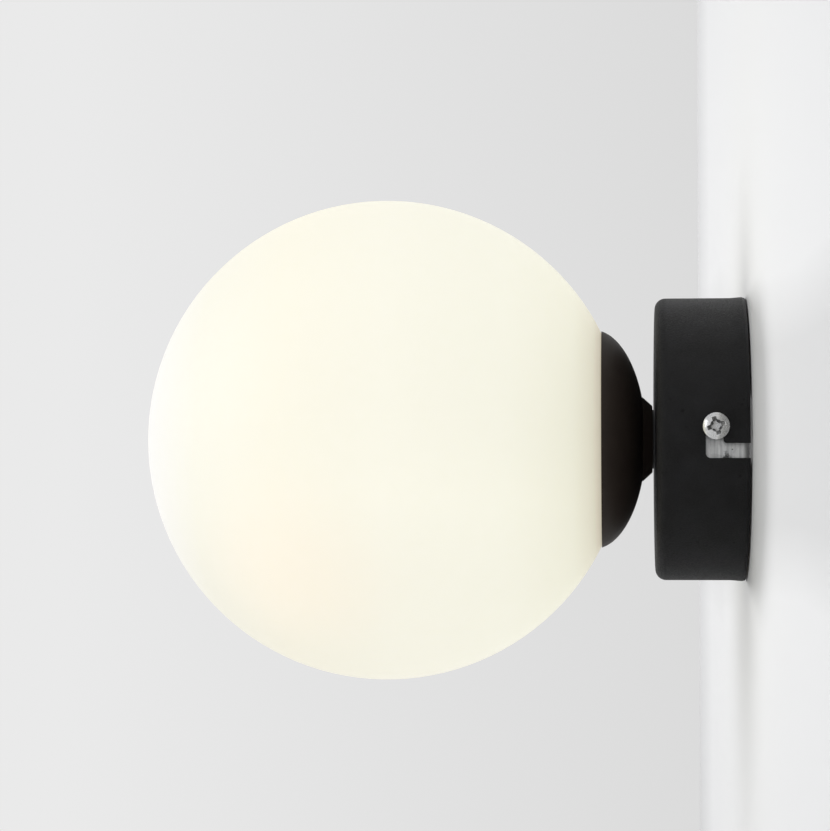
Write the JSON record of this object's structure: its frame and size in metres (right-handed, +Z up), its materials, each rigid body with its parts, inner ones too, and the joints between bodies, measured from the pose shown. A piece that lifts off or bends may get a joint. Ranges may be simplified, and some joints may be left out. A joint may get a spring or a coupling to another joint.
{
  "type": "globe wall sconce",
  "caption": "A wall light: a satin opal glass globe in a black domed cap on a round black canopy that hooks over a wall bracket and is locked by side screws.",
  "frame": {"origin": "middle of the light on the wall plane, on the axis of canopy, cap and globe", "axes": "-Y out of the wall into the room, +Z up, +X to the right seen from the room; the lock screws lie on X"},
  "size_m": [0.15, 0.1864, 0.15],
  "materials": {
    "opal_glass": "satin",
    "black_powder_coat": "fine texture",
    "black_satin_paint": "satin",
    "galvanised_steel": "brushed, galvanised",
    "zinc_plated_steel": "zinc plated",
    "bright_zinc": "bright zinc plated",
    "spring_steel": "plain",
    "brass": "turned",
    "nylon_natural": "moulded",
    "black_nylon": "moulded",
    "white_ceramic": "glazed",
    "silicone": "soft",
    "lead_brown": "insulation",
    "lead_blue": "insulation",
    "lead_green_yellow": "insulation",
    "tinned_copper": "tinned",
    "lamp_white": "moulded",
    "lamp_opal": "opal",
    "lamp_board": "white board"
  },
  "bodies": {
    "wall_bracket": {"mounting_bracket": "galvanised_steel", "earth_washer": "zinc_plated_steel", "bracket_earth_screw": "brass"},
    "lamp_head": {"canopy": "black_powder_coat", "cap": "black_satin_paint", "neck_collar": "black_satin_paint", "spacer_washer": "black_nylon", "globe_fitter": "zinc_plated_steel", "threaded_tube": "zinc_plated_steel", "insulating_bush": "black_nylon", "rear_nut": "zinc_plated_steel", "front_nut": "zinc_plated_steel", "rear_lock_washer": "spring_steel", "front_lock_washer": "spring_steel", "terminal_plate": "zinc_plated_steel", "terminal_block": "nylon_natural", "brass_inserts": "brass", "clamp_screws": "zinc_plated_steel", "block_screw": "zinc_plated_steel", "earth_tag": "tinned_copper", "plate_earth_screw": "brass", "holder_bracket": "zinc_plated_steel", "holder_base": "white_ceramic", "holder_top": "white_ceramic", "contact_clips": "spring_steel", "holder_screws": "zinc_plated_steel", "live_lead": "lead_brown", "neutral_lead": "lead_blue", "earth_lead": "lead_green_yellow"},
    "right_screw": {"lock_screw_right": "bright_zinc"},
    "left_screw": {"lock_screw_left": "bright_zinc"},
    "seal": {"globe_seal": "silicone"},
    "glass": {"globe": "opal_glass"},
    "lamp": {"lamp_pins": "tinned_copper", "lamp_base": "lamp_white", "lamp_core": "lamp_board", "lamp_cover": "lamp_opal"}
  },
  "joints": [
    {"name": "canopy_turn", "type": "hinge", "parent": "wall_bracket", "child": "lamp_head", "pos_m": [0, 0, 0], "axis": [0, -1, 0], "range_deg": [0, 9.4]},
    {"name": "right_screw_turn", "type": "hinge", "parent": "wall_bracket", "child": "right_screw", "pos_m": [0.041, -0.01014, 0], "axis": [1, 0, 0], "range_deg": [0, 540]},
    {"name": "left_screw_turn", "type": "hinge", "parent": "wall_bracket", "child": "left_screw", "pos_m": [-0.041, -0.01014, 0], "axis": [-1, 0, 0], "range_deg": [0, 540]},
    {"name": "globe_travel", "type": "slide", "parent": "lamp_head", "child": "seal", "axis": [0, -1, 0], "range_m": [0, 0.006]},
    {"name": "globe_unscrew", "type": "hinge", "parent": "seal", "child": "glass", "pos_m": [0, -0.0432, 0], "axis": [0, -1, 0], "range_deg": [0, 540]},
    {"name": "lamp_pull", "type": "slide", "parent": "lamp_head", "child": "lamp", "axis": [0, -1, 0], "range_m": [0, 0.012]}
  ],
  "couplings": [
    {"joint": "globe_travel", "follows": "globe_unscrew", "m_per_rad": 0.0006366}
  ]
}
